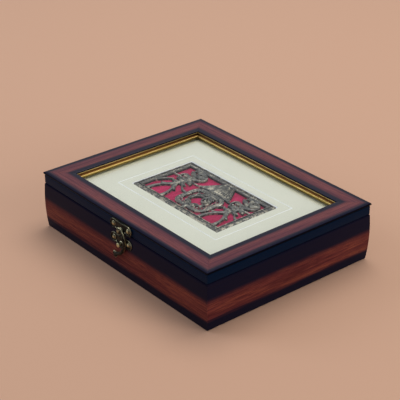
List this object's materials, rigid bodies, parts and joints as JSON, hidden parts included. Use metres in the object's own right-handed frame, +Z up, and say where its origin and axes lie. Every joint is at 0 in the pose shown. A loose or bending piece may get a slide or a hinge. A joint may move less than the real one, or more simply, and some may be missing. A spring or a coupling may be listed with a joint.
{
  "type": "keepsake display box",
  "caption": "Hinged wooden keepsake box whose lid is a glazed picture frame with a gilt slip, a mat and a pierced metal plaque, closed by a swing-hook latch.",
  "frame": {"origin": "centre of the face the box rests on", "axes": "+X along the latch wall, -Y out of the latch wall, +Z up"},
  "size_m": [0.2, 0.1686, 0.048],
  "materials": {
    "stained_wood": "dark-edged reddish stain under satin lacquer",
    "frame_wood": "dark-edged reddish stain under gloss lacquer",
    "gilt": "gilt foil over a moulded slip",
    "clear_glass": "clear polished",
    "mat_card": "matt cream",
    "pewter": "antiqued cast pewter",
    "crimson_cloth": "woven satin",
    "hardboard": "raw",
    "plywood": "raw",
    "velvet": "short pile",
    "felt": "felt",
    "antique_brass": "darkened, worn bright on the edges",
    "bright_brass": "rubbed bright",
    "hinge_brass": "aged",
    "steel": "bare"
  },
  "bodies": {
    "base": {"front_wall": "stained_wood", "back_wall": "stained_wood", "left_wall": "stained_wood", "right_wall": "stained_wood", "wall_corner_wedges": "steel", "bottom_panel": "plywood", "bottom_brads": "steel", "base_felt": "felt", "base_pad": "velvet", "front_liner": "velvet", "back_liner": "velvet", "left_liner": "velvet", "right_liner": "velvet", "catch_plate": "antique_brass", "catch_peg": "bright_brass", "catch_nails": "bright_brass", "hinge_left_body_leaf": "hinge_brass", "hinge_right_body_leaf": "hinge_brass", "hinge_left_pin": "hinge_brass", "hinge_right_pin": "hinge_brass", "hinge_body_screws": "bright_brass"},
    "lid": {"rail_front": "frame_wood", "rail_back": "frame_wood", "rail_left": "frame_wood", "rail_right": "frame_wood", "slip_front": "gilt", "slip_back": "gilt", "slip_left": "gilt", "slip_right": "gilt", "glass": "clear_glass", "mat_board": "mat_card", "plaque": "pewter", "plaque_cloth": "crimson_cloth", "lid_backing": "hardboard", "lid_pad": "velvet", "latch_plate": "antique_brass", "latch_rivet": "bright_brass", "latch_nails": "bright_brass", "hinge_lid_screws": "bright_brass", "hinge_left_lid_leaf": "hinge_brass", "hinge_right_lid_leaf": "hinge_brass", "rail_corner_wedges": "steel", "backing_brads": "steel"},
    "hook": {"latch_hook": "antique_brass"}
  },
  "joints": [
    {"name": "lid_hinge", "type": "hinge", "parent": "base", "child": "lid", "pos_m": [0, 0.0816, 0.0382], "axis": [-1, 0, 0], "range_deg": [0, 100]},
    {"name": "latch_swing", "type": "hinge", "parent": "lid", "child": "hook", "pos_m": [0.002, -0.0816, 0.0394], "axis": [0, -1, 0], "range_deg": [-15, 100]}
  ]
}
